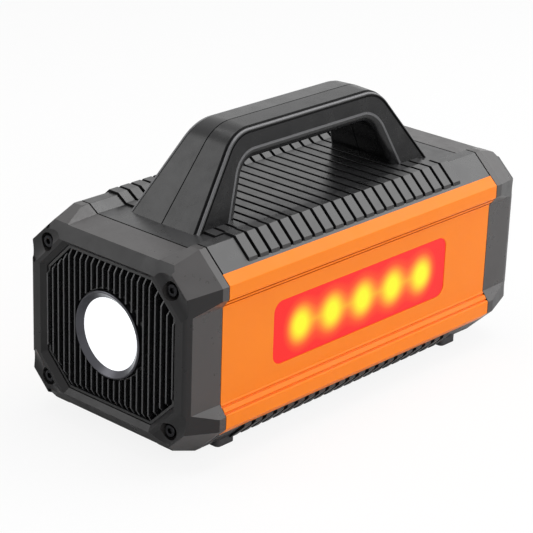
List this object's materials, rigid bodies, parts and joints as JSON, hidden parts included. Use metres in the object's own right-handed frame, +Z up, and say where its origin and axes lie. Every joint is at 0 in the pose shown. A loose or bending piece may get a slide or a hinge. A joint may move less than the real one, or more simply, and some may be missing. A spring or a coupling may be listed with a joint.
{
  "type": "jump starter pack",
  "caption": "Ribbed black and orange jump starter pack with a fixed arch handle, a round torch in a slatted front, a side warning lamp, and covered sockets and push buttons at the rear.",
  "frame": {"origin": "bottom centre of the bounding box, on the ground under the middle of the pack", "axes": "+Z up; the torch faces -Y and the control panel +Y; the warning lamp is on the +X side"},
  "size_m": [0.106, 0.228, 0.1332],
  "materials": {
    "black_shell": "fine spark texture",
    "orange_shell": "satin",
    "handle_plastic": "satin",
    "insert_plastic": "satin",
    "black_rubber": "matt",
    "black_steel": "black oxide",
    "zinc_steel": "zinc plated",
    "bezel_metal": "black anodised",
    "torch_glass": "clear",
    "reflector_chrome": "metallised",
    "light_board": "white solder mask",
    "light_chip": "phosphor",
    "sink_aluminium": "as extruded",
    "red_lens": "polished translucent red",
    "white_tray": "white",
    "display_glass": "smoked",
    "display_grey": "matt",
    "circuit_green": "solder mask",
    "black_part": "moulded",
    "orange_button": "satin",
    "grey_button": "satin",
    "red_button": "satin",
    "socket_steel": "nickel plated",
    "blue_housing": "satin",
    "contact_brass": "gold plated",
    "cell_pouch": "laminated pouch",
    "grey_foam": "foam",
    "tray_plastic": "moulded",
    "strap_fabric": "woven glass tape",
    "can_blue": "sleeved can",
    "ferrite": "copper wound ferrite",
    "lead_red": "silicone sleeve",
    "lead_black": "silicone sleeve"
  },
  "bodies": {
    "housing": {"front_cap": "black_shell", "rear_cap": "black_shell", "top_shell": "black_shell", "bottom_shell": "black_shell", "side_panel_right": "orange_shell", "side_panel_left": "orange_shell", "handle_right": "handle_plastic", "handle_left": "handle_plastic", "handle_screws": "zinc_steel", "handle_cross_screws": "black_steel", "feet": "black_rubber", "front_screws": "black_steel", "rear_screws": "black_steel", "front_grille": "insert_plastic", "grille_screws": "zinc_steel", "torch_bezel": "bezel_metal", "torch_lens": "torch_glass", "lens_seal": "black_rubber", "torch_reflector": "reflector_chrome", "torch_board": "light_board", "torch_chip": "light_chip", "torch_heat_sink": "sink_aluminium", "torch_screws": "zinc_steel", "warning_lens": "red_lens", "warning_tray": "white_tray", "warning_board": "light_board", "warning_lights": "light_chip", "warning_screws": "zinc_steel", "control_panel": "insert_plastic", "panel_screws": "zinc_steel", "display_window": "display_glass", "display_module": "display_grey", "control_board": "circuit_green", "tact_switches": "black_part", "usb_a_sockets": "socket_steel", "usb_c_socket": "socket_steel", "usb_cover_pin": "zinc_steel", "jump_socket": "blue_housing", "jump_contacts": "contact_brass", "jump_cover_pin": "zinc_steel", "battery_cells": "cell_pouch", "cell_pads": "grey_foam", "battery_tray": "tray_plastic", "tray_screws": "zinc_steel", "battery_straps": "strap_fabric", "main_board": "circuit_green", "board_screws": "zinc_steel", "relay": "black_part", "capacitors": "can_blue", "inductor": "ferrite", "positive_lead": "lead_red", "negative_lead": "lead_black"},
    "power_button": {"power_button": "orange_button"},
    "light_button": {"light_button": "grey_button"},
    "boost_button": {"boost_button": "red_button"},
    "usb_cover": {"usb_cover": "black_rubber"},
    "jump_cover": {"jump_cover": "black_rubber"}
  },
  "joints": [
    {"name": "power_press", "type": "slide", "parent": "housing", "child": "power_button", "axis": [0, -1, 0], "range_m": [0, 0.001], "stiffness_N_per_m": 2000, "springref_m": -0.0005},
    {"name": "light_press", "type": "slide", "parent": "housing", "child": "light_button", "axis": [0, -1, 0], "range_m": [0, 0.001], "stiffness_N_per_m": 2000, "springref_m": -0.0005},
    {"name": "boost_press", "type": "slide", "parent": "housing", "child": "boost_button", "axis": [0, -1, 0], "range_m": [0, 0.001], "stiffness_N_per_m": 2000, "springref_m": -0.0005},
    {"name": "usb_cover_swing", "type": "hinge", "parent": "housing", "child": "usb_cover", "pos_m": [0, 0.1097, 0.0538], "axis": [1, 0, 0], "range_deg": [0, 100]},
    {"name": "jump_cover_swing", "type": "hinge", "parent": "housing", "child": "jump_cover", "pos_m": [0, 0.1097, 0.0338], "axis": [1, 0, 0], "range_deg": [0, 100]}
  ]
}
